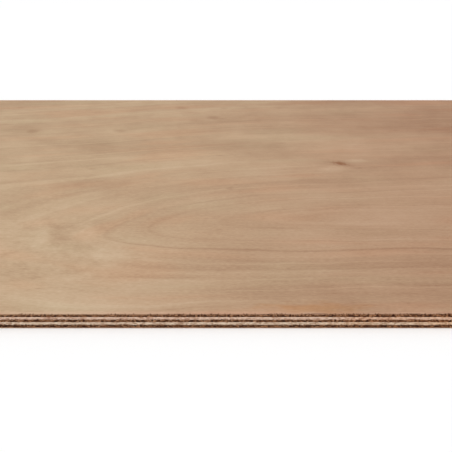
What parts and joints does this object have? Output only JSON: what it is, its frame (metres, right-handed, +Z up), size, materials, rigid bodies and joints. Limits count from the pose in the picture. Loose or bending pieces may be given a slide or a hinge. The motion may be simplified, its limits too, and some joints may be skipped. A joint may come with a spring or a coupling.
{
  "type": "plywood sheet",
  "caption": "Flat rectangular plywood sheet of cross-laminated wood veneers with square sawn edges, for shelving, lining, furniture and joinery.",
  "frame": {"origin": "centre of the sheet's underside", "axes": "+X along the sheet's length and its face grain, +Y across its width, +Z up from the back veneer to the face veneer"},
  "size_m": [1.22, 0.61, 0.012],
  "materials": {
    "face_veneer_wood": "matte",
    "back_veneer_wood": "matte",
    "long_core_wood": "matte",
    "crossband_wood": "matte"
  },
  "bodies": {
    "root": {"back_veneer": "back_veneer_wood", "lower_crossband": "crossband_wood", "lower_long_core": "long_core_wood", "centre_crossband": "crossband_wood", "upper_long_core": "long_core_wood", "upper_crossband": "crossband_wood", "face_veneer": "face_veneer_wood"}
  },
  "joints": []
}
